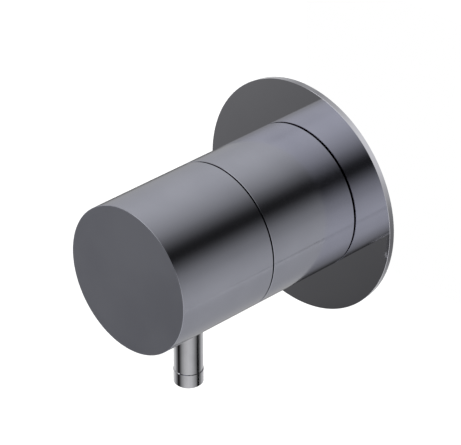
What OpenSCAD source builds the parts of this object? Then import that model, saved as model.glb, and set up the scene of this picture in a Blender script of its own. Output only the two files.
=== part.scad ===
// Concealed stop valve with a round pin-lever handle, fitted through a wall.
// The wall is the plane Y = 0. The trim stands out of it towards -Y, and the brass body lies in it.
// Every piece is drawn upright, with its Z out of the wall, and is then laid on the valve axis.
// Threads are plain cylinders at their nominal size.

/* [Barrel] */
// Outer diameter of the handle and of the fixed sleeve behind it
barrel_d = 45; // [43:0.5:54]
// Distance from the wall to the front face of the handle
projection = 71; // [66:0.5:84]
// Distance from the wall to the split between sleeve and handle
split_z = 35.5; // [34:0.5:39]
// Open gap at the split
split_gap = 0.55; // [0.2:0.05:0.8]
// Side wall of the handle shell
handle_wall = 2.5; // [2.2:0.1:3]
// Front wall of the handle shell
face_t = 3; // [2:0.1:5]
// Ledge in the handle shell that stops the hub
ledge_w = 0.8; // [0.5:0.1:1.5]
// Side wall of the sleeve
sleeve_wall = 2.2; // [2:0.1:3]
// Edge break on the visible edges of handle and sleeve
edge_c = 0.1; // [0.05:0.05:0.6]
// Gap between the sleeve's back end and the disc
sleeve_gap = 0.4; // [0.2:0.05:0.6]

/* [Rosette] */
// Diameter of the disc on the wall
rosette_d = 72; // [66:1:90]
// Thickness of the disc
rosette_t = 2; // [1.6:0.1:4]
// Hole for the valve neck
rosette_hole_d = 33; // [32:0.5:34]
// Width of the rim that rests on the wall
rosette_rim = 2; // [1:0.5:4]
// Width of the land round the hole
rosette_land = 3.5; // [2:0.5:5]
// Depth of the recess that holds the foam ring
foam_t = 1.2; // [0.8:0.1:1.3]
// Edge break on the front edge of the disc
rosette_c = 0.05; // [0.05:0.05:0.6]
// How far the disc's edge leans in towards the wall
rosette_lean = 0.2; // [0.05:0.05:0.4]

/* [Lever] */
// Distance of the lever pin's axis from the wall
lever_z = 47.5; // [46:0.5:49]
// Length of the lever below the handle's surface
lever_reach = 21.5; // [18:0.5:40]
// Diameter of the lever pin
lever_d = 8.5; // [7:0.1:10]
// Depth that the lever pin is sunk in the shell
lever_sink = 1.2; // [0.8:0.1:1.5]
// Diameter of the end cap
cap_d = 8.7; // [8.6:0.1:10]
// Length of the end cap with its lip
cap_l = 4.8; // [3:0.1:8]
// Height of the lip at the top of the end cap, with its conical upper half
lip_h = 0.4; // [0.4:0.1:1.2]
// How far the lip stands out of the end cap
lip_w = 0.1; // [0.05:0.05:0.4]
// Chamfer at the lower edge of the end cap
cap_c = 0.4; // [0.2:0.1:1]
// Thread of the lever stud and of the clamp screw
stud_d = 5; // [4:0.5:6]
// Length of the lever stud
stud_l = 15; // [12:0.5:18]
// Depth that the stud is screwed into the hub
stud_in = 8; // [7:0.5:8.5]
// Gap between the stud and the clamp screw behind it
clamp_gap = 0.5; // [0.3:0.1:1]

/* [Handle hub] */
// Height of the hub's rim
hub_h = 12; // [10:0.5:14]
// Thickness of the hub's rim
hub_rim = 3; // [2:0.5:5]
// Diameter of the hub's boss
hub_boss_d = 21; // [18:0.5:23]
// How far the boss stands above the rim
hub_boss_up = 4; // [1:0.5:6]
// Thickness of the hub's web
hub_web = 4; // [3:0.5:8]
// Diameter of the holes in the web
hub_hole_d = 6; // [3:0.5:6.5]
// Wall round the screw hole that crosses the hub
hub_screw_wall = 2.5; // [1.5:0.5:3]

/* [Extension] */
// Diameter of the extension rod
ext_d = 12; // [12:0.5:13]
// Thickness of its web under the screw
ext_web = 3; // [2:0.5:5]
// Length of the splined front end
ext_spline_l = 15; // [12:0.5:16]
// Outer diameter of that spline
ext_spline_d = 11.8; // [11.4:0.1:11.9]
// Teeth of the front spline
ext_teeth = 24; // [18:1:30]
// Thread of the axial screw
screw_d = 4; // [3:0.5:4]
// Length of the axial screw under its head
screw_l = 12; // [10:0.5:13]
// Head diameter of the axial screw
screw_head_d = 7; // [6.5:0.1:7.2]
// Thickness of the lock washer
lock_t = 0.9; // [0.5:0.1:1.5]
// Slit of the lock washer
lock_slit = 0.6; // [0.4:0.1:1]
// How far the rod ends short of the hub's boss
ext_short = 1.5; // [0.5:0.5:2]

/* [Spindle] */
// Diameter of the spindle stem
stem_d = 9; // [8.8:0.1:9.6]
// Outer diameter of the spindle's spline
spline_d = 8; // [7.6:0.1:8.4]
// Teeth of the spindle's spline
spline_teeth = 20; // [16:1:24]
// Length of the spindle's spline
spline_l = 10; // [8:0.5:12]
// Diameter of the stem's flange
flange_d = 12.4; // [12:0.1:13]
// Thickness of the stem's flange
flange_t = 2; // [1.5:0.1:3]
// Angle that the stop lug covers
lug_angle = 40; // [20:1:60]
// Turn from closed to open
turn_angle = 90; // [80:1:90]
// Angle left free at each end of the turn
lug_play = 1; // [0.5:0.5:2]
// Cord diameter of the stem's O-rings
stem_ring_d = 1.5; // [1.2:0.1:1.8]
// Height of the first O-ring over the chamber of the discs
stem_ring_up = 5; // [4:0.5:6]
// Thickness of the retaining clip
clip_t = 0.8; // [0.6:0.1:1.2]
// How far the clip stands out of the stem
clip_w = 1.5; // [1:0.1:2]
// Depth of the clip's groove
clip_in = 0.6; // [0.4:0.1:0.8]
// Angle of the clip's mouth
clip_mouth = 60; // [30:5:90]
// Height of the metal left over the clip's groove
stem_end = 0.6; // [0.5:0.1:1]

/* [Ceramic discs] */
// Diameter of the ceramic discs
disc_d = 15; // [14.6:0.1:15.2]
// Thickness of each disc
disc_t = 3.2; // [2.8:0.1:4]
// Angle that each of the two ports covers
port_angle = 76; // [50:1:84]
// Inner radius of the ports
port_r0 = 1.6; // [1:0.1:2.5]
// Outer radius of the ports
port_r1 = 5.4; // [4.5:0.1:5.5]
// Width of the tongue that turns the upper disc
tongue_w = 4; // [3:0.5:5]
// Height of that tongue
tongue_h = 1.1; // [0.8:0.1:1.6]
// Thickness of the drive plate
driver_t = 3; // [2.5:0.1:4]
// Side of the spindle's square foot
foot_w = 4.5; // [4:0.1:5]
// Height of the spindle's square foot
foot_h = 1.5; // [1:0.1:2]
// Free height of the seat seal
seal_t = 2; // [1.5:0.1:3]
// Width of the keys that hold the lower disc
key_w = 3; // [2:0.5:4]
// Depth of those keys
key_h = 0.8; // [0.5:0.1:1]

/* [Headwork] */
// Outer diameter of the barrel that holds the discs
headwork_d = 18.4; // [18:0.1:18.6]
// Outer diameter of the headwork's thread
headwork_thread_d = 20.9; // [20:0.1:21.5]
// Length of that thread
headwork_thread_l = 10; // [8:0.5:12]
// Height of the shoulder over the seat
shoulder_up = 26.5; // [25:0.5:29]
// Diameter of the headwork's flange
collar_d = 24.4; // [23.5:0.1:24.6]
// Thickness of that flange
collar_t = 2; // [1.5:0.5:3]
// Hexagon of the headwork across its flats
hex_af = 19; // [17:0.5:20]
// Height of the hexagon
hex_h = 7; // [5:0.5:9]
// Diameter of the tube above the hexagon
tube_d = 13; // [12.5:0.5:14]
// Length of that tube
tube_l = 6; // [4:0.5:7]
// Width of the two side windows
window_w = 10; // [6:0.5:11]
// Gap between the barrel and the floor of the seat
seat_air = 0.8; // [0.5:0.1:1]
// Thickness of the flat gasket under the flange
gasket_t = 1; // [0.5:0.1:1.5]
// Thickness of the thrust washer
thrust_t = 0.8; // [0.5:0.1:1.2]

/* [Body in the wall] */
// Depth of the pipe axis behind the wall surface
pipe_depth = 40; // [38:0.5:44]
// Distance between the two port faces
port_span = 60; // [59:1:76]
// Core diameter of the pipe threads
port_d = 18.63; // [14.95:0.01:19]
// Depth of the pipe threads
port_l = 13; // [10:0.5:14]
// Outer diameter of the arms
arm_d = 28; // [27:0.5:30]
// Octagon on the arm ends across its flats
arm_af = 30; // [29:0.5:33]
// Length of the octagon
arm_end_l = 11; // [8:0.5:12]
// Diameter of the round middle of the body
core_d = 32; // [31:0.5:36]
// Diameter of the chamber round the headwork
chamber_d = 24.4; // [23:0.1:25]
// Diameter of the waterway under the seat and of the two cross passages
way_d = 10; // [8:0.5:10.5]
// Thickness of the floor that carries the seat
floor_t = 3; // [2:0.5:4]
// Wall under the lowest passage
base_t = 3.5; // [3:0.5:6]
// Rounding of the body's bottom edge
base_r = 4; // [3:0.5:5]
// Length of the round middle below the shoulder that it leaves free for the neck
neck_l = 8; // [7:0.5:9]
// Height of the cone between middle and neck
neck_cone = 3; // [2:0.5:4]
// Length of the undercut below the headwork's thread
thread_relief = 2; // [1:0.5:3]
// Outer diameter of the neck
neck_d = 30; // [30:0.5:31]
// Bore of the neck
neck_bore_d = 25; // [25:0.1:26]
// How far the neck stands out of the wall
neck_out = 14; // [12:0.5:16]
// Depth of the sleeve's threaded web
sleeve_web = 8; // [6:0.5:9]
// Cord diameter of the sleeve's O-ring
sleeve_ring_d = 2; // [1.6:0.1:2.4]
// Length of the glide ring in the sleeve
glide_in = 4.5; // [3:0.5:6]
// Length of the glide ring in the handle
glide_out = 4.5; // [3:0.5:5]
// Thickness of the glide ring
glide_t = 1.8; // [1.4:0.1:2.4]
// Depth of the glide ring's seat in the sleeve's wall
glide_seat = 0.4; // [0.2:0.1:0.6]

/* [Fits] */
// Radial clearance of pieces that turn in each other
run_fit = 0.05; // [0.02:0.01:0.1]
// Radial clearance between the glide ring and the handle
glide_fit = 0.1; // [0.05:0.01:0.1]
// Radial clearance of pieces that are screwed or pushed together
seat_fit = 0.02; // [0.01:0.01:0.05]
// Gap between sliding faces
face_gap = 0.05; // [0.03:0.01:0.1]
// Gap that separates pieces that never touch
air = 0.3; // [0.2:0.05:0.5]
// Radial clearance of the O-rings against the wall they seal on
ring_fit = 0.01; // [0.01:0.01:0.03]
// Chamfer on the hidden edges
small_c = 0.4; // [0.2:0.1:0.5]

/* [Hidden] */
$fn = 96;

GUNMETAL = [0.42, 0.42, 0.45];
BRASS = [0.76, 0.60, 0.33];
STEEL = [0.68, 0.69, 0.70];
CERAMIC = [0.93, 0.92, 0.88];
RUBBER = [0.12, 0.12, 0.13];
NYLON = [0.88, 0.87, 0.83];
FIBRE = [0.70, 0.22, 0.16];
FOAM = [0.30, 0.30, 0.31];

// Cuts run this far past the face they open
over = 1;

barrel_r = barrel_d / 2;
handle_z0 = split_z + split_gap / 2;
sleeve_z0 = rosette_t + sleeve_gap;
sleeve_z1 = split_z - split_gap / 2;
handle_bore_d = barrel_d - 2 * handle_wall;
sleeve_bore_d = barrel_d - 2 * sleeve_wall;

// Heights of the seat and of the stack of discs above it
pipe_z = -pipe_depth;
seat_z = pipe_z + floor_t / 2;
inlet_z = seat_z - floor_t - way_d / 2;
outlet_z = seat_z + way_d / 2;
lower_disc_z = seat_z + seal_t;
upper_disc_z = lower_disc_z + disc_t + face_gap;
driver_z = upper_disc_z + disc_t;
flange_z = driver_z + driver_t;
thrust_z = flange_z + flange_t + face_gap;
cavity_z1 = thrust_z + thrust_t;
disc_bore_d = disc_d + 2 * run_fit;
lug_r = disc_d / 2 - air;
// The stops start above the drive plate, so that it turns under them
stop_z = flange_z + air;
stop_bore_d = flange_d + 2 * run_fit;

// Heights of the headwork above its shoulder, and of the spindle's end
shoulder_z = seat_z + shoulder_up;
collar_z = shoulder_z + gasket_t;
hex_z = collar_z + collar_t;
tube_z = hex_z + hex_h;
tube_z1 = tube_z + tube_l;
stem_bore_d = stem_d + 2 * run_fit;
clip_z = tube_z1 + face_gap;
clip_groove_d = stem_d - 2 * clip_in;
spline_z = clip_z + clip_t + stem_end;
spindle_z1 = spline_z + spline_l;
stem_ring_r = stem_bore_d / 2 - ring_fit - stem_ring_d / 2;
stem_ring_zs = [for (k = [0, 1]) cavity_z1 + stem_ring_up + k * 2.6 * stem_ring_d];
// O-ring grooves are this much wider than the cord
groove_k = 1.2;

// Heights of the extension
ext_z0 = spline_z + air;
ext_web_z = spindle_z1 + air;
ext_seat_z = ext_web_z + ext_web;
hub_z0 = lever_z - hub_h / 2;
hub_z1 = lever_z + hub_h / 2;
hub_boss_z1 = hub_z1 + hub_boss_up;
ext_z1 = hub_boss_z1 - ext_short;
ext_spline_z = ext_z1 - ext_spline_l;
screw_z = ext_seat_z + lock_t;
spline_depth = 0.45;

// Distances of the lever's pieces from the valve axis
lever_r0 = barrel_r - lever_sink;
lever_r1 = barrel_r + lever_reach - cap_l;
stud_r0 = barrel_r - handle_wall - stud_in;
stud_r1 = stud_r0 + stud_l;
clamp_r0 = ext_spline_d / 2 + face_gap;
clamp_r1 = stud_r0 - clamp_gap;
cap_spigot = 5;

// Lays a piece that is drawn upright on the valve axis, so that its top faces out of the wall
module on_axis() {
    rotate([90, 0, 0]) children();
}

// Puts a piece on the lever's axis, with its Z pointing down, away from the valve axis
module on_lever() {
    translate([0, 0, lever_z]) rotate([90, 0, 0]) children();
}

// Plain ring that stands on height z
module ring(z, h, outer, inner) {
    translate([0, 0, z]) difference() {
        cylinder(h = h, d = outer);
        translate([0, 0, -over]) cylinder(h = h + 2 * over, d = inner);
    }
}

// Round bar or bore between two heights
module bar(z0, z1, d) {
    translate([0, 0, z0]) cylinder(h = z1 - z0, d = d);
}

// Turned piece from its half section, a list of [radius, height]
module turned(section) {
    rotate_extrude() polygon(section);
}

// Wedge of a given angle, centred on +X
module wedge(angle, r, z0, z1) {
    far = r / cos(angle / 2);
    translate([0, 0, z0]) linear_extrude(z1 - z0)
        polygon([[0, 0], far * [cos(angle / 2), -sin(angle / 2)], far * [cos(angle / 2), sin(angle / 2)]]);
}

// Two opposite sector ports through a disc
module ports(z0, z1) {
    for (side = [0, 180]) rotate(side) intersection() {
        ring(z0, z1 - z0, 2 * port_r1, 2 * port_r0);
        wedge(port_angle, 2 * port_r1, z0 - over, z1 + over);
    }
}

// Outline of a straight-sided spline, grown by a clearance
function spline_points(d, teeth, grow) = [
    for (k = [0 : teeth - 1], step = [[0, 0], [0.18, 1], [0.5, 1], [0.68, 0]])
        let (angle = 360 * (k + step[0]) / teeth, r = d / 2 + grow - spline_depth * (1 - step[1]))
        [r * cos(angle), r * sin(angle)]
];

module spline(d, teeth, z0, z1, grow = 0) {
    translate([0, 0, z0]) linear_extrude(z1 - z0) polygon(spline_points(d, teeth, grow));
}

// Hexagon bar across its flats
module hexagon(af, z0, z1) {
    translate([0, 0, z0]) cylinder(h = z1 - z0, d = af / cos(30), $fn = 6);
}

// Brass body in the wall: arms with pipe threads, seat floor between inlet and outlet, and neck
module valve_body_shape() {
    core_bottom = inlet_z - way_d / 2 - base_t;
    core_top = shoulder_z - neck_l;
    round_x = core_d / 2 - base_r;
    difference() {
        union() {
            turned([
                [0, core_bottom], [round_x, core_bottom],
                for (a = [-75 : 15 : 0])
                    [round_x + base_r * cos(a), core_bottom + base_r + base_r * sin(a)],
                [core_d / 2, core_top - neck_cone], [neck_d / 2, core_top],
                [neck_d / 2, neck_out - small_c], [neck_d / 2 - small_c, neck_out], [0, neck_out]
            ]);
            for (side = [-1, 1]) valve_arm(side);
        }
        bar(shoulder_z, neck_out + over, neck_bore_d);
        bar(seat_z + over, shoulder_z + over, headwork_thread_d + 2 * seat_fit);
        bar(seat_z, shoulder_z - headwork_thread_l - thread_relief, chamber_d);
        bar(inlet_z - way_d / 2, seat_z + over, way_d);
        passage(-1, inlet_z);
        passage(1, outlet_z);
        for (side = [-1, 1]) pipe_thread(side);
    }
}

// One arm of the body, a round bar with an octagon at its end
module valve_arm(side) {
    end_x = port_span / 2;
    translate([0, 0, pipe_z]) rotate([0, side * 90, 0]) {
        cylinder(h = end_x - arm_end_l + over, d = arm_d);
        translate([0, 0, end_x - arm_end_l]) intersection() {
            rotate(22.5) cylinder(h = arm_end_l, d = arm_af / cos(22.5), $fn = 8);
            cylinder(h = arm_end_l, d1 = arm_af + 2 * arm_end_l, d2 = arm_af + small_c);
        }
    }
}

// Cross passage from the end of a pipe thread to the middle of the body
module passage(side, z) {
    translate([0, 0, z]) rotate([0, side * 90, 0])
        cylinder(h = port_span / 2 - port_l + over, d = way_d);
}

module pipe_thread(side) {
    translate([side * port_span / 2, 0, pipe_z]) rotate([0, -side * 90, 0])
        translate([0, 0, -over]) cylinder(h = port_l + over, d = port_d);
}

module valve_body() {
    color(BRASS) on_axis() valve_body_shape();
}

// Headwork: barrel with side windows, thread, flange, hexagon and the quarter-turn stops
module headwork_body() {
    color(BRASS) on_axis() difference() {
        union() {
            bar(seat_z + seat_air, shoulder_z, headwork_d);
            bar(shoulder_z - headwork_thread_l, collar_z + over, headwork_thread_d);
            bar(collar_z, hex_z, collar_d);
            hexagon(hex_af, hex_z, tube_z);
            bar(tube_z - over, tube_z1, tube_d);
        }
        difference() {
            bar(seat_z - over, cavity_z1, disc_bore_d);
            stops();
            disc_keys(key_w, key_h);
        }
        bar(seat_z, tube_z1 + over, stem_bore_d);
        for (side = [0, 180]) rotate(side)
            translate([0, -window_w / 2, upper_disc_z])
                cube([headwork_d, window_w, stop_z - air - upper_disc_z]);
    }
}

// Ring of metal round the flange, open where the stop lug travels
module stops() {
    free = turn_angle + lug_angle + 2 * lug_play;
    difference() {
        ring(stop_z, cavity_z1 - stop_z + over, disc_bore_d + over, stop_bore_d);
        rotate(90 + turn_angle / 2) lug_pocket(free, 2 * disc_d, stop_z - over, thrust_z);
    }
}

// Wide sector, made of two wedges that overlap in the middle
module lug_pocket(angle, r, z0, z1) {
    for (side = [-1, 1]) rotate(side * angle / 4) wedge(angle / 2 + 0.5, r, z0, z1);
}

// Two keys in the barrel that keep the lower disc from turning
module disc_keys(w, h) {
    for (side = [90, 270]) rotate(side)
        translate([disc_bore_d / 2 - h, -w / 2, lower_disc_z]) cube([h + over, w, disc_t]);
}

module headwork_gasket() {
    color(FIBRE) on_axis() ring(shoulder_z, gasket_t, collar_d, headwork_thread_d + 2 * seat_fit);
}

module seat_seal() {
    color(RUBBER) on_axis() ring(seat_z, seal_t, disc_d, 2 * (port_r1 + air));
}

module lower_disc() {
    color(CERAMIC) on_axis() difference() {
        bar(lower_disc_z, lower_disc_z + disc_t, disc_d);
        ports(lower_disc_z - over, lower_disc_z + disc_t + over);
        disc_notches();
    }
}

// Notches that take the keys, with a little play
module disc_notches() {
    for (side = [90, 270]) rotate(side)
        translate([disc_bore_d / 2 - key_h - run_fit, -key_w / 2 - run_fit, lower_disc_z - over])
            cube([key_h + run_fit + over, key_w + 2 * run_fit, disc_t + 2 * over]);
}

// Turning disc: its ports stand across those of the lower disc while the valve is closed
module upper_disc() {
    color(CERAMIC) on_axis() difference() {
        bar(upper_disc_z, upper_disc_z + disc_t, disc_d);
        rotate(90) ports(upper_disc_z - over, upper_disc_z + disc_t + over);
        translate([-disc_d, -tongue_w / 2 - run_fit, upper_disc_z + disc_t - tongue_h - face_gap])
            cube([2 * disc_d, tongue_w + 2 * run_fit, tongue_h + over]);
    }
}

// Drive plate: round middle with a square socket, bar across, tongue below
module disc_driver() {
    bar_w = tongue_w + 2 * small_c;
    color(NYLON) on_axis() difference() {
        intersection() {
            bar(driver_z - tongue_h, driver_z + driver_t, disc_d - 2 * run_fit);
            union() {
                bar(driver_z, driver_z + driver_t, 2 * foot_w);
                translate([-disc_d, -bar_w / 2, driver_z]) cube([2 * disc_d, bar_w, driver_t]);
                translate([-disc_d, -tongue_w / 2, driver_z - tongue_h])
                    cube([2 * disc_d, tongue_w, tongue_h + driver_t]);
            }
        }
        translate([0, 0, flange_z - foot_h - face_gap]) square_bar(foot_w + 2 * seat_fit, foot_h + over);
    }
}

module square_bar(w, h) {
    translate([-w / 2, -w / 2, 0]) cube([w, w, h]);
}

// Spindle: square foot, flange with stop lug, stem with two ring grooves, clip groove and spline
module spindle() {
    color(BRASS) on_axis() difference() {
        union() {
            translate([0, 0, flange_z - foot_h]) square_bar(foot_w, foot_h + over);
            bar(flange_z, flange_z + flange_t, flange_d);
            intersection() {
                bar(flange_z, flange_z + flange_t, 2 * lug_r);
                rotate(90) wedge(lug_angle, disc_d, flange_z - over, flange_z + flange_t + over);
            }
            bar(flange_z + flange_t / 2, spline_z, stem_d);
            spline(spline_d, spline_teeth, spline_z - stem_end / 2, spindle_z1);
        }
        for (z = stem_ring_zs) ring(z - groove_k * stem_ring_d / 2, groove_k * stem_ring_d,
            stem_d + over, 2 * (stem_ring_r - ring_fit) - stem_ring_d);
        ring(clip_z - seat_fit, clip_t + 2 * seat_fit, stem_d + over, clip_groove_d);
        bar(screw_z - screw_l - over, spindle_z1 + over, screw_d + 2 * seat_fit);
    }
}

module spindle_o_rings() {
    color(RUBBER) on_axis() for (z = stem_ring_zs) torus(z, stem_ring_r, stem_ring_d);
}

module torus(z, r, d) {
    translate([0, 0, z]) rotate_extrude() translate([r, 0]) circle(d = d, $fn = 32);
}

// Open clip that keeps the spindle from being pushed in
module spindle_circlip() {
    color(STEEL) on_axis() difference() {
        ring(clip_z, clip_t, stem_d + 2 * clip_w, clip_groove_d + 2 * seat_fit);
        wedge(clip_mouth, stem_d, clip_z - over, clip_z + clip_t + over);
    }
}

module thrust_washer() {
    color(NYLON) on_axis() ring(thrust_z, thrust_t, stop_bore_d - 2 * seat_fit, stem_d + 4 * run_fit);
}

// Extension rod: splined socket at the back, screw seat inside, spline at the front
module extension_spindle() {
    color(BRASS) on_axis() difference() {
        union() {
            bar(ext_z0, ext_spline_z, ext_d);
            spline(ext_spline_d, ext_teeth, ext_spline_z - over, ext_z1);
        }
        spline(spline_d, spline_teeth, ext_z0 - over, ext_web_z, seat_fit);
        bar(ext_web_z - over, ext_seat_z + over, screw_d + air);
        bar(ext_seat_z, ext_z1 + over, screw_head_d + air);
    }
}

module extension_screw() {
    color(STEEL) on_axis() difference() {
        union() {
            bar(screw_z, screw_z + screw_d, screw_head_d);
            bar(screw_z - screw_l, screw_z + over, screw_d);
        }
        hexagon(0.75 * screw_d, screw_z + screw_d / 2, screw_z + screw_d + over);
    }
}

module lock_washer() {
    color(STEEL) on_axis() difference() {
        ring(ext_seat_z, lock_t, screw_head_d, screw_d + air);
        translate([0, -lock_slit / 2, ext_seat_z - over])
            cube([screw_head_d, lock_slit, lock_t + 2 * over]);
    }
}

// Thin disc on the wall, hollow at the back for its foam ring
module rosette() {
    color(GUNMETAL) on_axis() difference() {
        turned([
            [rosette_hole_d / 2, 0], [rosette_d / 2 - rosette_lean, 0],
            [rosette_d / 2, rosette_t - rosette_c],
            [rosette_d / 2 - rosette_c, rosette_t], [rosette_hole_d / 2, rosette_t]
        ]);
        ring(-over, foam_t + over, foam_outer_d(), foam_inner_d());
    }
}

function foam_outer_d() = rosette_d - 2 * rosette_rim;
function foam_inner_d() = rosette_hole_d + 2 * rosette_land;

module rosette_seal() {
    color(FOAM) on_axis() ring(0, foam_t, foam_outer_d() - 2 * seat_fit, foam_inner_d() + 2 * seat_fit);
}

// Sleeve: screwed on the neck, presses the rosette to the wall through its O-ring
module sleeve() {
    web_z1 = sleeve_z0 + sleeve_web;
    pocket_z = sleeve_z1 - glide_in;
    color(GUNMETAL) on_axis() difference() {
        turned([
            [neck_d / 2 + seat_fit, sleeve_z0], [barrel_r - edge_c, sleeve_z0],
            [barrel_r, sleeve_z0 + edge_c],
            [barrel_r, sleeve_z1 - edge_c], [barrel_r - edge_c, sleeve_z1],
            [glide_seat_d() / 2, sleeve_z1], [glide_seat_d() / 2, pocket_z],
            [sleeve_bore_d / 2, pocket_z], [sleeve_bore_d / 2, web_z1], [neck_d / 2 + seat_fit, web_z1]
        ]);
        ring(sleeve_z0 - over, over + sleeve_ring_d - sleeve_gap + face_gap,
            2 * sleeve_ring_r() + groove_k * sleeve_ring_d, 2 * sleeve_ring_r() - groove_k * sleeve_ring_d);
    }
}

function glide_seat_d() = sleeve_bore_d + 2 * glide_seat;
function sleeve_ring_r() = (rosette_hole_d / 2 + barrel_r) / 2;

module sleeve_o_ring() {
    color(RUBBER) on_axis() torus(rosette_t + sleeve_ring_d / 2, sleeve_ring_r(), sleeve_ring_d);
}

// Plastic ring in the sleeve's front end that carries the handle's rim
module glide_ring() {
    inner = handle_bore_d - 2 * glide_fit - 2 * glide_t;
    color(NYLON) on_axis() turned([
        [inner / 2, sleeve_z1 - glide_in], [glide_seat_d() / 2 - seat_fit, sleeve_z1 - glide_in],
        [glide_seat_d() / 2 - seat_fit, sleeve_z1], [handle_bore_d / 2 - glide_fit, sleeve_z1],
        [handle_bore_d / 2 - glide_fit, sleeve_z1 + glide_out - small_c],
        [handle_bore_d / 2 - glide_fit - small_c, sleeve_z1 + glide_out],
        [inner / 2, sleeve_z1 + glide_out]
    ]);
}

// Handle shell: a cup with a ledge for the hub and a sunk seat for the lever
module handle_shell() {
    color(GUNMETAL) on_axis() difference() {
        turned([
            [0, projection - face_t], [handle_bore_d / 2 - ledge_w, projection - face_t],
            [handle_bore_d / 2 - ledge_w, hub_z1], [handle_bore_d / 2, hub_z1],
            [handle_bore_d / 2, handle_z0], [barrel_r - edge_c, handle_z0],
            [barrel_r, handle_z0 + edge_c], [barrel_r, projection - edge_c],
            [barrel_r - edge_c, projection], [0, projection]
        ]);
        on_lever() bar(lever_r0, barrel_r + over, lever_d + 2 * run_fit);
        on_lever() bar(barrel_r / 2, barrel_r + over, stud_d + air);
    }
}

// Hub: boss with the splined bore, spoked web, rim that fills the shell, and the screw hole
module handle_hub() {
    rim_d = handle_bore_d - 2 * seat_fit;
    hole_r = (hub_boss_d / 2 + rim_d / 2 - hub_rim) / 2;
    color(BRASS) on_axis() difference() {
        union() {
            bar(hub_z0, hub_boss_z1, hub_boss_d);
            ring(hub_z0, hub_h, rim_d, rim_d - 2 * hub_rim);
            difference() {
                bar(lever_z - hub_web / 2, lever_z + hub_web / 2, rim_d - hub_rim);
                for (k = [1 : 5]) rotate(60 * k - 90) translate([hole_r, 0, 0])
                    bar(hub_z0, hub_z1, hub_hole_d);
            }
            on_lever() bar(ext_d / 2, rim_d / 2 - hub_rim / 2, stud_d + 2 * hub_screw_wall);
        }
        spline(ext_spline_d, ext_teeth, hub_z0 - over, hub_boss_z1 + over, seat_fit);
        on_lever() bar(ext_d / 4, barrel_r, stud_d + 2 * seat_fit);
    }
}

// Grub screw that clamps the hub on the extension
module hub_clamp_screw() {
    color(STEEL) on_axis() on_lever() difference() {
        bar(clamp_r0, clamp_r1, stud_d);
        hexagon(stud_d / 2, (clamp_r0 + clamp_r1) / 2, clamp_r1 + over);
    }
}

module lever_stud() {
    color(STEEL) on_axis() on_lever() difference() {
        bar(stud_r0, stud_r1, stud_d);
        hexagon(stud_d / 2, stud_r0 - over, stud_r0 + stud_d / 2);
    }
}

module lever_pin() {
    color(STEEL) on_axis() on_lever() difference() {
        bar(lever_r0, lever_r1, lever_d);
        bar(lever_r0 - over, stud_r1 + air, stud_d + 2 * seat_fit);
        bar(lever_r1 - cap_spigot - air, lever_r1 + over, stud_d + 2 * seat_fit);
    }
}

// End cap: lip with a conical top, body with a chamfered foot, and a spigot that screws into the pin
module lever_end_cap() {
    lip_r = cap_d / 2 + lip_w;
    foot_z = lever_r1 + cap_l;
    spigot_r = stud_d / 2;
    color(STEEL) on_axis() on_lever() turned([
        [0, lever_r1 - cap_spigot], [spigot_r, lever_r1 - cap_spigot], [spigot_r, lever_r1],
        [lever_d / 2, lever_r1], [lip_r, lever_r1 + lip_h / 2], [lip_r, lever_r1 + lip_h],
        [cap_d / 2, lever_r1 + lip_h], [cap_d / 2, foot_z - cap_c],
        [cap_d / 2 - cap_c, foot_z], [0, foot_z]
    ]);
}

valve_body();
headwork_body();
headwork_gasket();
seat_seal();
lower_disc();
upper_disc();
disc_driver();
spindle();
spindle_o_rings();
spindle_circlip();
thrust_washer();
extension_spindle();
extension_screw();
lock_washer();
rosette();
rosette_seal();
sleeve();
sleeve_o_ring();
glide_ring();
handle_shell();
handle_hub();
hub_clamp_screw();
lever_stud();
lever_pin();
lever_end_cap();
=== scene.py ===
# %% [markdown]
# # A concealed stop valve, dressed for its portrait
#
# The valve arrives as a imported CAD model: 25 solids that already have the right size and place.
# This lesson gives them their finishes, adds the fine forms that a turned and threaded
# object has, and builds the small studio in which polished metal looks like metal.

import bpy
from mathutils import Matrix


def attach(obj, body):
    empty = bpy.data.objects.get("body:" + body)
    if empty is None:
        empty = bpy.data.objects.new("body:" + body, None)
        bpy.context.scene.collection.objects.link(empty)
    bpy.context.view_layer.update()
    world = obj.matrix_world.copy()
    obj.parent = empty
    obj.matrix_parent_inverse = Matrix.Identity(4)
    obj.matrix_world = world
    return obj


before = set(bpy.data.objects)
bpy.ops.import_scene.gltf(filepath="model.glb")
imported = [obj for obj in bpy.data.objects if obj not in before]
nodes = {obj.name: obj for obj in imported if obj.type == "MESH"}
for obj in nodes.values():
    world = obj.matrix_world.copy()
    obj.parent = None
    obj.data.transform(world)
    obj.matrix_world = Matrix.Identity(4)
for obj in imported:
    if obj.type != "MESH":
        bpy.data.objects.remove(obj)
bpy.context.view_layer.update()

import math

import bpy

mm = 0.001
scene = bpy.context.scene

# %% [markdown]
# ## The camera
#
# The photograph looks down on the valve from the front right, 45 degrees round and 30 degrees
# up. A lens could be guessed by eye, but the round edges of handle, split and wall disc are
# ellipses whose centres and sizes fix both lens and distance, so the numbers come from them.

# %% Place the camera
camera_data = bpy.data.cameras.new("portrait_camera")
camera = bpy.data.objects.new("portrait_camera", camera_data)
scene.collection.objects.link(camera)
scene.camera = camera
camera.location = (0.53316, -0.56345, 0.43750)
camera.rotation_euler = (math.radians(60), 0, math.radians(45))
camera_data.sensor_width = 36
camera_data.lens = 237.35
camera_data.clip_start = 0.05
camera_data.clip_end = 20
scene.view_settings.view_transform = "Standard"

# %% [markdown]
# ## Writing shader maths as plain sums
#
# A material is a web of nodes. Drawing it by hand takes many lines for each sum, so one small
# class wraps a socket and adds the Math nodes when two wires are added, multiplied and so on.
# Every other node comes from its `node` method.


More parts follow.
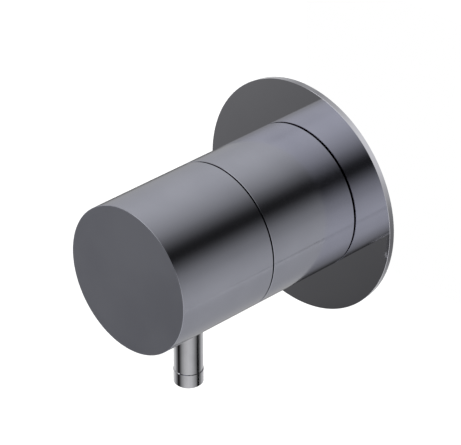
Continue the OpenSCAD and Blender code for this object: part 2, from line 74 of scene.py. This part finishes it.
# %% A wire that can be added and multiplied
class Wire:
    """One socket of a node tree."""

    def __init__(self, tree, socket=None):
        self.tree = tree
        self.socket = socket

    def node(self, kind, settings=None, sockets=None, out=0):
        made = self.tree.nodes.new(kind)
        for name, value in (settings or {}).items():
            if name == "stops":
                self.set_stops(made.color_ramp, value)
            else:
                setattr(made, name, value)
        for name, value in (sockets or {}).items():
            if isinstance(value, Wire):
                self.tree.links.new(value.socket, made.inputs[name])
            else:
                made.inputs[name].default_value = value
        return Wire(self.tree, made.outputs[out] if len(made.outputs) else None)

    @staticmethod
    def set_stops(ramp, stops):
        while len(ramp.elements) < len(stops):
            ramp.elements.new(0.5)
        for element, (place, shade) in zip(ramp.elements, stops):
            element.position = place
            element.color = (shade, shade, shade, 1)

    def maths(self, operation, first, second=0.0):
        return self.node("ShaderNodeMath", {"operation": operation}, {0: first, 1: second})

    def __add__(self, other):
        return self.maths("ADD", self, other)

    __radd__ = __add__

    def __sub__(self, other):
        return self.maths("SUBTRACT", self, other)

    def __rsub__(self, other):
        return self.maths("SUBTRACT", other, self)

    def __mul__(self, other):
        return self.maths("MULTIPLY", self, other)

    __rmul__ = __mul__

    def __truediv__(self, other):
        return self.maths("DIVIDE", self, other)

    def __pow__(self, other):
        return self.maths("POWER", self, other)

    def size(self):
        return self.maths("ABSOLUTE", self)

    def root(self):
        return self.maths("SQRT", self)

    def step(self, low, high):
        """0 below low, 1 above high, and a smooth rise between them."""
        return self.node(
            "ShaderNodeMapRange", {"interpolation_type": "SMOOTHSTEP"},
            {"Value": self, "From Min": low, "From Max": high})

    def above(self, limit, soft):
        """1 above a limit and 0 below it, with a soft border."""
        return self.step(limit - soft, limit + soft)

    def below(self, limit, soft):
        return 1 - self.above(limit, soft)

    def between(self, low, high, soft):
        return self.above(low, soft) * self.below(high, soft)

    def ramp(self, stops):
        return self.node("ShaderNodeValToRGB", {"stops": stops}, {"Fac": self})

    def axes(self):
        made = self.node("ShaderNodeSeparateXYZ", None, {"Vector": self})
        outputs = made.socket.node.outputs
        return [Wire(self.tree, outputs[k]) for k in range(3)]


def distance(first, second):
    """Distance from an axis, from the two distances across it."""
    return (first * first + second * second).root()


def blend(factor, low, high):
    """A mix of two colours."""
    made = factor.node("ShaderNodeMix", {"data_type": "RGBA"}, {"Factor": factor})
    mix = made.socket.node
    for name, value in (("A", low), ("B", high)):
        target = [s for s in mix.inputs if s.name == name and s.type == "RGBA"][0]
        if isinstance(value, Wire):
            factor.tree.links.new(value.socket, target)
        else:
            target.default_value = (*value, 1)
    return Wire(factor.tree, [s for s in mix.outputs if s.type == "RGBA"][0])


# %% [markdown]
# ## The studio
#
# Polished metal has hardly a colour of its own. It shows its surroundings, so a photographer
# puts it in a white room and stands black and grey cards where a dark line should run along the
# form. Lamps and real cards could do that here. A world whose brightness depends on the
# direction is plainer, and it needs no hiding of cards from the camera.
#
# The long ramps below were not chosen by eye. Tones were read from the photograph at points along
# barrel, pin and disc edge, turned into light strengths by the law of mirrors, given as stops
# and corrected against renders. They fit this one view.

# %% Brightness of the room in each direction
world = bpy.data.worlds.new("white_room")
scene.world = world
world.use_nodes = True
world.node_tree.nodes.clear()
room = Wire(world.node_tree)
direction = room.node("ShaderNodeTexCoord", out=0)
dir_x, dir_y, dir_z = direction.axes()


def part_of_turn(angle):
    """An angle of -180 to 180 degrees as a value of 0 to 1."""
    return (angle + 180) / 360


def full_turn(pairs):
    """Ramp stops from pairs of an angle, -180 to 180 degrees, and a brightness."""
    return [(part_of_turn(angle), shade) for angle, shade in pairs]


def half_turn(pairs):
    """Ramp stops from pairs of an angle, 0 to 180 degrees, and a brightness."""
    return [(angle / 180, shade) for angle, shade in pairs]


def aim(azimuth, elevation):
    """Unit vector: azimuth 0 points out of the wall, 90 to the right."""
    a, e = math.radians(azimuth), math.radians(elevation)
    return (math.sin(a) * math.cos(e), -math.cos(a) * math.cos(e), math.sin(e))


def off_axis(azimuth, elevation):
    """Angle between a ray and that direction, 0 to 1 for 0 to 180 degrees."""
    x, y, z = aim(azimuth, elevation)
    return room.maths("ARCCOSINE", dir_x * x + dir_y * y + dir_z * z) / math.pi


# %% [markdown]
# A round bar shows the room as a strip: each point round it mirrors one direction. So the dark
# line along the barrel is a dark wedge at the upper right, given by the angle round the
# valve's axis. The room is brighter in front, because the disc's mirror picture of the barrel
# loses a third of its light, and the wedge stands four degrees further round there.

# %% The dark wedge along the barrel
front_full, front_none = -0.35, 0.0
front_gain, front_shift = 0.5, 4 / 360

around = room.maths("ARCTAN2", dir_z, dir_x) / (2 * math.pi) + 0.5
in_front = 1 - dir_y.step(front_full, front_none)
wedge = (around + in_front * front_shift).ramp(full_turn([
    (-180, 0.95), (-140, 0.90), (-119, 0.84), (-103, 0.85), (-87, 0.79), (-55, 0.76), (-42, 0.81),
    (-31, 0.80), (-15, 0.69), (-7, 0.62), (1, 0.51), (9, 0.43), (17, 0.30), (25, 0.16),
    (33, 0.055), (37, 0.025), (44, 0.025), (50, 0.055), (57, 0.155), (65, 0.285), (73, 0.45),
    (81, 0.575), (89, 0.685), (105, 0.86), (121, 0.96), (137, 1.0), (155, 0.98), (180, 0.95),
]))
walls = wedge * (1 + front_gain * in_front)

# %% [markdown]
# Round cards do the rest, each given by its direction and by how fast it fades towards its rim.
# The front card makes disc and handle face dark. The lens card keeps them dark when the valve is
# seen from straight ahead. The left card lies opposite the camera, where the barrel's two
# outlines look, and the lip card keeps the small lip on the pin from flashing.

# %% Dark and grey cards
front_card = off_axis(-36, -36).ramp(half_turn([
    (0, 0.022), (4, 0.043), (6, 0.062), (8.5, 0.092), (10, 0.11), (13, 0.165), (18, 0.33),
    (23, 0.47), (33, 0.7), (43, 0.95), (50, 1.0),
]))
lens_card = off_axis(-5, 0).ramp(half_turn([(0, 0.25), (10, 0.3), (25, 0.6), (38, 1.0)]))
left_card = off_axis(-134, -27).ramp(half_turn([
    (0, 0.07), (4, 0.11), (10, 0.25), (13, 0.44), (16, 0.68), (20, 0.84), (24, 0.92), (32, 1.0)]))
lip_card = off_axis(-70, 38).ramp(half_turn([(0, 0.38), (19.5, 0.4), (23.5, 1.0)]))
walls = walls * front_card * lens_card * left_card * lip_card

# %% [markdown]
# The upright pin mirrors only one narrow belt of the room, 32 degrees below the horizon. That
# belt gets its own brightness by compass direction, with one dark card low in front and one
# behind to the right: they are the two dark lines down the pin. On the right the belt is wider,
# because the pin's end cap hangs lower than the pin.

# %% The belt that the pin mirrors
belt_height, cap_height = -0.5365, -0.546

compass = room.maths("ARCTAN2", dir_x, 0 - dir_y) / (2 * math.pi) + 0.5
belt_light = compass.ramp(full_turn([
    (-180, 1.02), (-166, 1.1), (-154, 0.77), (-140, 0.41), (-128, 0.28), (-116, 0.56),
    (-103, 1.14), (-91, 1.28), (-74, 0.67), (-59, 0.39), (-50, 0.18), (-43, 0.068),
    (-40, 0.0), (-33, 0.015), (-27, 0.07), (-18, 0.23), (-11, 0.39), (-2, 0.54), (16, 0.77),
    (46, 0.945), (70, 0.85), (88, 0.625), (106, 0.30), (113, 0.17), (118, 0.06), (120, 0.0),
    (134, 0.0), (137, 0.04), (142, 0.16), (148, 0.32), (166, 0.8), (180, 1.02),
]))


def band(height, full, gone):
    """1 near one height of the room, 0 past the second distance from it."""
    return 1 - (dir_z - height).size().step(full, gone)


def on_compass(rise_from, rise_to, fall_from, fall_to):
    """1 in one piece of the compass, from four angles in degrees."""
    rise = compass.step(part_of_turn(rise_from), part_of_turn(rise_to))
    return rise * (1 - compass.step(part_of_turn(fall_from), part_of_turn(fall_to)))


pin_belt = band(belt_height, 0.009, 0.0135)
cap_belt = band(cap_height, 0.012, 0.016) * on_compass(108, 115.2, 129.96, 132.12)
belt = pin_belt + (1 - pin_belt) * cap_belt

# %% [markdown]
# The pieces mirror one another too, so the belt shows up twice where nobody wants it. A short
# piece of it draws a dark line on the lower barrel, and brighter borders make up for that. The
# disc's right edge mirrors the pin, and the pin a strip just above the belt, which is darkened.

# %% Where the belt shows up again
strip_height, border_gain, strip_loss = -0.507, 0.7, 0.8

short_piece = on_compass(132.84, 133.56, 140.04, 141.12)
borders = (1 - pin_belt) * band(belt_height, 0.027, 0.033) * short_piece
strip = band(strip_height, 0.0125, 0.015) * on_compass(-127.08, -122.04, -59.4, -52.2)
walls = walls * (1 + border_gain * borders) * (1 - strip_loss * strip)
room_shade = walls + belt * (belt_light - walls)

# %% White for the camera
from_camera = room.node("ShaderNodeLightPath", out=0)
seen = room_shade + from_camera * (1 - room_shade)
lamp = room.node("ShaderNodeBackground", None, {"Strength": 1.0, "Color": seen})
room.node("ShaderNodeOutputWorld", None, {"Surface": lamp})

# %% [markdown]
# ## Floor, wall and card
#
# The floor is a plain pale sheet far below. The wall is only a patch right of the disc: it hides
# what a real wall hides in the photograph's view, and it is open from behind, so that the brass
# body can be looked at from the back. The disc's thin edge leans in towards the wall, so it
# mirrors what lies behind it. A curved card stands there.


# %% Stage helpers
def select_only(thing):
    for other in bpy.context.selected_objects:
        other.select_set(False)
    thing.select_set(True)
    bpy.context.view_layer.objects.active = thing


def stage_material(name):
    made = bpy.data.materials.new(name)
    made.use_nodes = True
    made.node_tree.nodes.clear()
    return made, Wire(made.node_tree)


def glowing(wire, strength):
    """A white glow, so that a stage piece needs no lamp."""
    return wire.node("ShaderNodeEmission", None, {"Color": (1, 1, 1, 1), "Strength": strength})


def only_seen_by(thing, camera_rays=False, glossy_rays=False):
    thing.visible_camera = camera_rays
    thing.visible_glossy = glossy_rays
    thing.visible_diffuse = False
    thing.visible_shadow = False
    thing.visible_transmission = False
    thing.visible_volume_scatter = False


# %% The floor
floor_size, floor_height, floor_tone, floor_glow = 8, -0.30, 0.86, 0.6

bpy.ops.mesh.primitive_plane_add(size=floor_size, location=(0, 0, floor_height))
floor = bpy.context.active_object
floor.name = "floor"
floor_paint, wire = stage_material("pale_floor")
matt = wire.node("ShaderNodeBsdfDiffuse", None, {"Color": (floor_tone,) * 3 + (1,)})
from_camera = wire.node("ShaderNodeLightPath", out=0)
lift = wire.node("ShaderNodeMixShader", None, {0: from_camera, 2: glowing(wire, floor_glow)})
both = wire.node("ShaderNodeAddShader", None, {0: matt, 1: lift})
wire.node("ShaderNodeOutputMaterial", None, {"Surface": both})
floor.data.materials.append(floor_paint)
floor.visible_glossy = False

# %% The wall beside the disc
wall_x, wall_z, wall_y = (0.0, 0.100), (-0.012, 0.075), -0.0001

bpy.ops.mesh.primitive_plane_add(size=1, location=(0, 0, 0))
wall = bpy.context.active_object
wall.name = "wall_patch"
for vertex in wall.data.vertices:
    across, up = vertex.co.x + 0.5, vertex.co.y + 0.5
    vertex.co = (wall_x[0] + across * (wall_x[1] - wall_x[0]), wall_y,
                 wall_z[0] + up * (wall_z[1] - wall_z[0]))
wall_paint, wire = stage_material("white_wall")
back_side = wire.node("ShaderNodeNewGeometry", out=6)
clear = wire.node("ShaderNodeBsdfTransparent")
shown = wire.node("ShaderNodeMixShader", None, {0: back_side, 1: glowing(wire, 1.0), 2: clear})
wire.node("ShaderNodeOutputMaterial", None, {"Surface": shown})
wall.data.materials.append(wall_paint)
only_seen_by(wall, camera_rays=True)

# %% The card behind the disc's edge
card_r, card_start, card_depth, card_corners = 60 * mm, 26 * mm, 24 * mm, 144

bpy.ops.object.select_all(action="DESELECT")
bpy.ops.mesh.primitive_circle_add(
    vertices=card_corners, radius=card_r, fill_type="NOTHING",
    location=(0, card_start, 0), rotation=(-math.pi / 2, 0, 0))
card = bpy.context.active_object
card.name = "edge_card"
bpy.ops.object.transform_apply(location=True, rotation=True, scale=True)
bpy.ops.object.mode_set(mode="EDIT")
bpy.ops.mesh.select_all(action="SELECT")
bpy.ops.mesh.extrude_region_move(TRANSFORM_OT_translate={"value": (0, card_depth, 0)})
bpy.ops.object.mode_set(mode="OBJECT")
card_paint, wire = stage_material("edge_card")
card_x, card_y, card_z = wire.node("ShaderNodeTexCoord", out=3).axes()
card_turn = wire.maths("ARCTAN2", card_z, card_x) / (2 * math.pi) + 0.5
card_light = card_turn.ramp(full_turn([
    (-180, 0.43), (-168, 0.19), (-120, 0.09), (-108, 0.3), (-96, 0.68), (-84, 0.80),
    (-72, 0.65), (-61, 0.50), (-50, 0.34), (-40, 0.23), (-29, 0.19), (-19, 0.20), (-9, 0.235),
    (0, 0.295), (9, 0.455), (19, 0.57), (28, 0.74), (37, 0.77), (56, 0.85), (65, 0.79),
    (74, 0.68), (84, 0.57), (94, 0.50), (103, 0.39), (114, 0.455), (124, 0.435), (135, 0.6),
    (146, 0.78), (157, 0.93), (169, 0.86), (180, 0.42),
]))
wire.node("ShaderNodeOutputMaterial", None, {"Surface": glowing(wire, card_light)})
card.data.materials.append(card_paint)
only_seen_by(card, glossy_rays=True)

# %% [markdown]
# ## Finishes
#
# Each finish is made once and given to every piece that has it. All patterns read the object's
# own coordinates in metres, so a groove that is 0.1 mm apart on the real piece is 0.1 mm here.


# %% Tools for the finishes
class Finish:
    """A material with its main shader and a few patterns to build it from."""

    def __init__(self, name, metallic=0.0):
        self.material = bpy.data.materials.new(name)
        self.material.use_nodes = True
        self.tree = self.material.node_tree
        self.shader = self.tree.nodes["Principled BSDF"]
        self.set("Metallic", metallic)
        self.wire = Wire(self.tree)
        self.place = self.wire.node("ShaderNodeTexCoord", out=3)
        self.x, self.y, self.z = self.place.axes()
        self.radius = distance(self.x, self.z)

    def set(self, name, value):
        target = self.shader.inputs[name]
        if isinstance(value, Wire):
            self.tree.links.new(value.socket, target)
        else:
            target.default_value = (*value, 1) if isinstance(value, tuple) else value
        return self

    def noise(self, scale, detail):
        """Cloudy pattern, 0 to 1, with `scale` blobs to the metre."""
        return self.wire.node(
            "ShaderNodeTexNoise", None, {"Vector": self.place, "Scale": scale, "Detail": detail})

    def lines(self, along, scale, detail):
        """Pattern that changes only along one value, for turned and brushed faces."""
        return self.wire.node(
            "ShaderNodeTexNoise", {"noise_dimensions": "1D"},
            {"W": along, "Scale": scale, "Detail": detail})

    def cells(self, scale):
        """Open cells, with `scale` of them to the metre."""
        return self.wire.node(
            "ShaderNodeTexVoronoi", None, {"Vector": self.place, "Scale": scale})

    def thread(self, along, first, second, pitch):
        """A screw thread as a wave, 0 in the valley and 1 on the crest."""
        turn = self.wire.maths("ARCTAN2", second, first) / (2 * math.pi)
        saw = self.wire.maths("FRACT", along / pitch + turn)
        return 1 - (saw * 2 - 1).size()

    def bump(self, height, reach):
        """Raises the surface by height times reach, in metres."""
        return self.set("Normal", self.wire.node(
            "ShaderNodeBump", None, {"Height": height, "Distance": reach, "Strength": 1.0}))

    def colour(self, factor, low, high):
        return self.set("Base Color", blend(factor, low, high))


# %% [markdown]
# ### Gunmetal
#
# The visible trim is brass with a thin dark grey coating, put on in a vacuum. On the barrel it
# lies over a fine lathe finish: the tool leaves rings, which are round the side and concentric
# on the front face. The wall disc is polished before it is coated and mirrors the barrel.

# %% Gunmetal finishes
front_face, face_edge = -71 * mm, 0.03 * mm
grey_low, grey_high = (0.300, 0.306, 0.350), (0.325, 0.331, 0.376)
pale_low, pale_high = (0.64, 0.64, 0.685), (0.66, 0.66, 0.705)


def gunmetal(name, roughness, rings, low, high, face_at=None, face_roughness=0.0):
    made = Finish(name, metallic=1.0)
    made.set("Specular Tint", (0.7, 0.7, 0.7))
    along = made.y
    if face_at is not None:
        on_face = 1 - made.y.step(face_at + face_edge, face_at + 2 * face_edge)
        along = made.y + on_face * (made.radius - made.y)
        roughness = roughness + on_face * (face_roughness - roughness)
    fine = made.lines(along, 9000, 3)
    coarse = made.lines(along, 1100, 2)
    haze = made.noise(45, 3)
    made.colour(haze.step(0.3, 0.7), low, high)
    made.set("Roughness", roughness + (haze - 0.5) * 0.03 + (coarse - 0.5) * 0.03)
    made.bump(fine * 0.7 + coarse * 0.3, rings)
    return made.material


barrel_coat = gunmetal(
    "turned_gunmetal", 0.15, 0.0005 * mm, grey_low, grey_high,
    face_at=front_face, face_roughness=0.38)
disc_coat = gunmetal("polished_gunmetal", 0.04, 0.00003 * mm, pale_low, pale_high)

# %% Polished steel
polished = Finish("polished_steel", metallic=1.0)
polished.set("Specular Tint", (0.8, 0.8, 0.8))
cloud = polished.noise(160, 3)
polished.colour(cloud.step(0.3, 0.7), (0.43, 0.43, 0.45), (0.46, 0.46, 0.48))
polished.set("Roughness", 0.05 + (cloud - 0.5) * 0.03)
polished.bump(polished.lines(polished.z, 7000, 2), 0.00004 * mm)
pin_steel = polished.material

# %% [markdown]
# ### Brass
#
# The body in the wall is a hot forging that was blasted clean: dull and sandy, with a thin seam
# where the two halves of the die met. Neck, bores and pipe ends are then turned on a lathe and
# come out bright. Nobody paints such a piece by hand: a mask made of a few distances says which
# places the tool has reached.

# %% Forged brass with its turned places
pipe_y, wide_bore, pipe_end = 40 * mm, 12.6 * mm, 29.7 * mm
neck_reach, neck_r = 39 * mm, 15.3 * mm
soft, seam_full, seam_none = 0.1 * mm, 0.12 * mm, 0.4 * mm

forged = Finish("forged_brass", metallic=1.0)
port_r = distance(forged.y - pipe_y, forged.z)
in_neck = forged.radius.below(neck_r, soft) * forged.y.below(neck_reach, soft)
in_port = forged.wire.maths(
    "MAXIMUM", port_r.below(wide_bore, soft), forged.x.size().above(pipe_end, soft))
machined = forged.wire.maths("MAXIMUM", in_neck, in_port)

cloud = forged.noise(110, 4)
dull = blend(cloud.step(0.25, 0.75), (0.46, 0.33, 0.15), (0.58, 0.43, 0.21))
bright = blend(cloud.step(0.3, 0.7), (0.76, 0.59, 0.30), (0.81, 0.65, 0.35))
forged.colour(machined, dull, bright)

across_neck = forged.y + forged.radius
tool_path = across_neck + in_port * (port_r + forged.x - across_neck)
tool_lines = forged.lines(tool_path, 5000, 2)
grit = forged.noise(2600, 2)
dents = forged.noise(420, 3)
seam = 1 - forged.z.size().step(seam_full, seam_none)
forged.set("Roughness", 0.5 + (grit - 0.5) * 0.2 + machined * (tool_lines * 0.1 - 0.32))
forged_skin = grit * 0.25 + dents * 0.5 + seam * 2.5
forged.bump(forged_skin + machined * (tool_lines * 0.08 - forged_skin), 0.04 * mm)
print("forged brass:", len(forged.tree.nodes), "nodes")

# %% [markdown]
# The headwork, the spindle, its extension and the hub are turned from bar. The lathe's lines
# follow height plus radius: on a round side only the height changes, on a flat face only the
# radius, so one value serves both. The headwork also has a pipe thread, 1.814 mm from crest to
# crest, which lies inside the body. Nothing but its relief is needed there.

# %% Turned brass
thread_low, thread_high, thread_r, pipe_pitch = 12 * mm, 22 * mm, 10.3 * mm, 1.814 * mm

bar_brass = Finish("turned_brass", metallic=1.0)
cloud = bar_brass.noise(140, 3)
bar_brass.colour(cloud.step(0.3, 0.7), (0.74, 0.57, 0.29), (0.80, 0.64, 0.35))
tool_lines = bar_brass.lines(bar_brass.y + bar_brass.radius, 5200, 3)
bar_brass.set("Roughness", 0.2 + tool_lines * 0.12 + (cloud - 0.5) * 0.06)
on_thread = (bar_brass.y.between(thread_low, thread_high, soft)
             * bar_brass.radius.step(thread_r - soft, thread_r))
relief = bar_brass.thread(bar_brass.y, bar_brass.x, bar_brass.z, pipe_pitch)
bar_brass.bump(tool_lines * 0.003 + on_thread * relief * 0.8, 1 * mm)

# %% [markdown]
# ### Steel of the small hidden pieces
#
# The stud and its clamp screw lie on the lever's axis, the axial screw on the valve's. A thread
# is a wave along its axis that moves on by one pitch for each turn, which takes the angle round
# the axis and a fraction. The two axes need two materials.

# %% Screw steel
lever_y, side_soft = -47.5 * mm, 0.02 * mm


def screw_steel(name, along, across, centre, pitch, thread_radius, reach):
    made = Finish(name, metallic=1.0)
    places = {"x": made.x, "y": made.y, "z": made.z}
    first, second = places[across[0]], places[across[1]] - centre
    out = distance(first, second)
    cloud = made.noise(300, 3)
    made.colour(cloud.step(0.3, 0.7), (0.48, 0.48, 0.49), (0.56, 0.56, 0.57))
    made.set("Roughness", 0.26 + cloud * 0.12)
    side = out.between(thread_radius - soft, thread_radius + soft, side_soft)
    threaded = side * places[along].between(*reach, soft)
    lines = made.lines(places[along] + out, 6000, 2)
    wave = made.thread(places[along], first, second, pitch)
    made.bump(threaded * wave * 0.35 + lines * 0.002, 1 * mm)
    return made.material


lever_screw = screw_steel(
    "lever_screw_steel", "z", ("x", "y"), lever_y, 0.8 * mm, 2.5 * mm, (-40 * mm, -5 * mm))
axial_screw = screw_steel(
    "axial_screw_steel", "y", ("x", "z"), 0.0, 0.7 * mm, 2.0 * mm, (-45 * mm, -10 * mm))

# %% [markdown]
# ### Ceramic, rubber, nylon, fibre and foam
#
# Each of these is told by how its surface breaks the light. Ceramic discs are lapped until they
# nearly mirror. Rubber swallows light and has a faint bloom. Nylon is waxy. Fibre gaskets are
# pressed paper with threads in it, and foam is all open cells.

# %% White ceramic
ceramic = Finish("white_ceramic")
speck = ceramic.noise(2400, 2)
ceramic.colour(speck.step(0.35, 0.65), (0.80, 0.79, 0.74), (0.85, 0.84, 0.80))
ceramic.set("Roughness", 0.10 + ceramic.noise(240, 3) * 0.06)
ceramic.bump(speck, 0.0006 * mm)

# %% Black rubber
rubber = Finish("black_rubber")
bloom = rubber.noise(500, 4)
rubber.colour(bloom.step(0.4, 0.8), (0.016, 0.016, 0.017), (0.035, 0.035, 0.037))
rubber.set("Roughness", 0.48 + bloom * 0.15)
rubber.bump(rubber.noise(3500, 2), 0.006 * mm)

# %% White nylon
nylon = Finish("white_nylon")
flow = nylon.noise(180, 3)
nylon.colour(flow.step(0.3, 0.7), (0.72, 0.71, 0.66), (0.77, 0.76, 0.72))
nylon.set("Roughness", 0.34 + flow * 0.1)
nylon.bump(nylon.noise(1500, 2), 0.004 * mm)

# %% Red fibre
fibre = Finish("red_fibre")
stretched = fibre.wire.node(
    "ShaderNodeMapping", None,
    {"Vector": fibre.place, "Scale": (1, 5, 1), "Rotation": (0.5, 0, 0.3)})
threads = fibre.wire.node(
    "ShaderNodeTexNoise", None,
    {"Vector": stretched, "Scale": 900.0, "Detail": 4.0, "Distortion": 1.5})
fibre.colour(threads.step(0.35, 0.65), (0.33, 0.06, 0.04), (0.50, 0.13, 0.09))
fibre.set("Roughness", 0.7 + threads * 0.2)
fibre.bump(threads, 0.03 * mm)

# %% Grey foam
foam = Finish("grey_foam")
cell = foam.cells(1400)
# Darker towards each cell's middle, where the bump sinks: painted shade in the open cells'
# hollows.
foam.colour(cell.step(0.1, 0.6), (0.03, 0.03, 0.032), (0.13, 0.13, 0.135))
foam.set("Roughness", 0.88 + cell * 0.1)
foam.bump(cell, 0.25 * mm)

# %% Give the finishes to the CAD nodes
finish_of = {
    "handle_shell": barrel_coat, "sleeve": barrel_coat, "rosette": disc_coat,
    "lever_pin": pin_steel, "lever_end_cap": pin_steel,
    "valve_body": forged.material, "headwork_body": bar_brass.material,
    "spindle": bar_brass.material, "extension_spindle": bar_brass.material,
    "handle_hub": bar_brass.material, "hub_clamp_screw": lever_screw, "lever_stud": lever_screw,
    "extension_screw": axial_screw, "lock_washer": axial_screw, "spindle_circlip": axial_screw,
    "lower_disc": ceramic.material, "upper_disc": ceramic.material,
    "seat_seal": rubber.material, "spindle_o_rings": rubber.material,
    "sleeve_o_ring": rubber.material, "disc_driver": nylon.material,
    "thrust_washer": nylon.material, "glide_ring": nylon.material,
    "headwork_gasket": fibre.material, "rosette_seal": foam.material,
}
print("nodes without a finish:", sorted(set(nodes) - set(finish_of)))
for name, material in finish_of.items():
    for slot in nodes[name].material_slots:
        slot.material = material

# %% [markdown]
# ## Threads
#
# The sleeve is screwed on the body's neck, and the pipes into its two ends. A thread is one
# triangle that turns and climbs at once, which is what the Screw modifier does with a profile.
# The triangle's base sits a little inside the brass, and the ridge runs out flat at both ends,
# as a cut thread does.


# %% A ridge that climbs round an axis
# A triangle with its corners on a circle of radius 1 has this height and this side.
triangle_height, triangle_side = 1.5, math.sqrt(3)


def thread_ridge(name, radius, height, width, pitch, turns, run_out, steps=48, thinnest=0.05):
    """Thread round Z that starts at the origin. A negative height points to the axis."""
    bpy.ops.object.select_all(action="DESELECT")
    bpy.ops.mesh.primitive_circle_add(
        vertices=3, radius=1, fill_type="NOTHING", rotation=(math.pi / 2, math.pi / 2, 0))
    ridge = bpy.context.active_object
    ridge.name = name
    bpy.ops.object.transform_apply(location=False, rotation=True, scale=False)
    ridge.scale = (height / triangle_height, 1, width / triangle_side)
    ridge.location = (radius + height / 3, 0, 0)
    bpy.ops.object.transform_apply(location=True, rotation=False, scale=True)
    turning = ridge.modifiers.new("turn_and_climb", "SCREW")
    turning.axis = "Z"
    turning.angle = 2 * math.pi
    turning.screw_offset = pitch
    turning.iterations = turns
    turning.steps = turning.render_steps = steps
    bpy.ops.object.modifier_apply(modifier=turning.name)
    for vertex in ridge.data.vertices:
        x, y, z = vertex.co
        out = math.hypot(x, y)
        to_end = max(0.0, min(z, pitch * turns - z))
        kept = radius + (out - radius) * min(1.0, thinnest + to_end / run_out)
        vertex.co = (x * kept / out, y * kept / out, z)
    bpy.ops.object.mode_set(mode="EDIT")
    bpy.ops.mesh.select_all(action="SELECT")
    bpy.ops.mesh.fill_holes(sides=3)
    bpy.ops.mesh.normals_make_consistent(inside=False)
    bpy.ops.object.mode_set(mode="OBJECT")
    return ridge


def lay_down(thing, rotation, location):
    """Turns and moves a piece, and writes both into its mesh."""
    select_only(thing)
    thing.rotation_euler = rotation
    thing.location = location
    bpy.ops.object.transform_apply(location=True, rotation=True, scale=True)


def tell_box(thing):
    corners = (thing.bound_box[0], thing.bound_box[6])
    print(thing.name, [tuple(round(v, 4) for v in corner) for corner in corners])


def belongs(thing, material):
    """The piece gets its finish and stays with the fixed valve."""
    thing.data.materials.clear()
    thing.data.materials.append(material)
    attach(thing, "valve")


# %% The thread on the neck
ridge_height, neck_thread_start = 0.45 * mm, 1.8 * mm

neck_thread = thread_ridge(
    "neck_thread", radius=14.95 * mm, height=ridge_height, width=1.2 * mm,
    pitch=1.5 * mm, turns=11, run_out=1.5 * mm)
lay_down(neck_thread, (-math.pi / 2, 0, 0), (0, neck_thread_start, 0))
belongs(neck_thread, bar_brass.material)
tell_box(neck_thread)

# %% The threads in the two pipe ends
for name, start in (("outlet_thread", 18.0 * mm), ("inlet_thread", -28.9 * mm)):
    ridge = thread_ridge(
        name, radius=9.36 * mm, height=-ridge_height, width=1.5 * mm,
        pitch=pipe_pitch, turns=6, run_out=2.5 * mm)
    lay_down(ridge, (0, math.pi / 2, 0), (start, pipe_y, 0))
    belongs(ridge, bar_brass.material)
    tell_box(ridge)

# %% [markdown]
# ## Flow arrows
#
# The headwork shuts well only if the water comes from below its seat, so the forging shows the
# way through with a raised arrow on each end. A flat triangle is the head. Its back edge is cut
# in three, the middle third is drawn out as the shaft, and all of it is then raised and rounded.


# %% Arrows on the forging
flat_up, head_r, shaft = 15 * mm, 2.6 * mm, 3.4 * mm
sunk, raised, rounding, near = 0.4 * mm, 0.6 * mm, 0.2 * mm, 0.1 * mm


def select_edges(thing, wanted):
    """Selects the edges whose middle passes a test, and stays in edit mode."""
    bpy.ops.object.mode_set(mode="EDIT")
    bpy.ops.mesh.select_mode(type="EDGE")
    bpy.ops.mesh.select_all(action="DESELECT")
    bpy.ops.object.mode_set(mode="OBJECT")
    points = thing.data.vertices
    for edge in thing.data.edges:
        first, second = (points[k].co for k in edge.vertices)
        edge.select = wanted((first + second) / 2)
    bpy.ops.object.mode_set(mode="EDIT")


def flow_arrow(name, x):
    back_x = x - head_r / 2
    bpy.ops.object.select_all(action="DESELECT")
    bpy.ops.mesh.primitive_circle_add(
        vertices=3, radius=head_r, fill_type="NGON", location=(x, pipe_y, flat_up - sunk),
        rotation=(0, 0, -math.pi / 2))
    arrow = bpy.context.active_object
    arrow.name = name
    bpy.ops.object.transform_apply(location=True, rotation=True, scale=True)
    select_edges(arrow, lambda middle: abs(middle.x - back_x) < near)
    bpy.ops.mesh.subdivide(number_cuts=2)
    select_edges(arrow, lambda middle: (
        abs(middle.x - back_x) < near and abs(middle.y - pipe_y) < near))
    bpy.ops.mesh.extrude_region_move(TRANSFORM_OT_translate={"value": (-shaft, 0, 0)})
    bpy.ops.mesh.select_all(action="SELECT")
    bpy.ops.mesh.extrude_region_move(TRANSFORM_OT_translate={"value": (0, 0, sunk + raised)})
    bpy.ops.mesh.select_all(action="SELECT")
    bpy.ops.mesh.normals_make_consistent(inside=False)
    bpy.ops.object.mode_set(mode="OBJECT")
    edge = arrow.modifiers.new("soft_edges", "BEVEL")
    edge.width, edge.segments, edge.limit_method = rounding, 3, "ANGLE"
    bpy.ops.object.modifier_apply(modifier=edge.name)
    bpy.ops.object.shade_smooth_by_angle(angle=math.radians(40))
    belongs(arrow, forged.material)
    return arrow


for name, x in (("flow_arrow_in", -23.2 * mm), ("flow_arrow_out", 26.2 * mm)):
    arrow = flow_arrow(name, x)
    print(name, len(arrow.data.polygons), "faces")
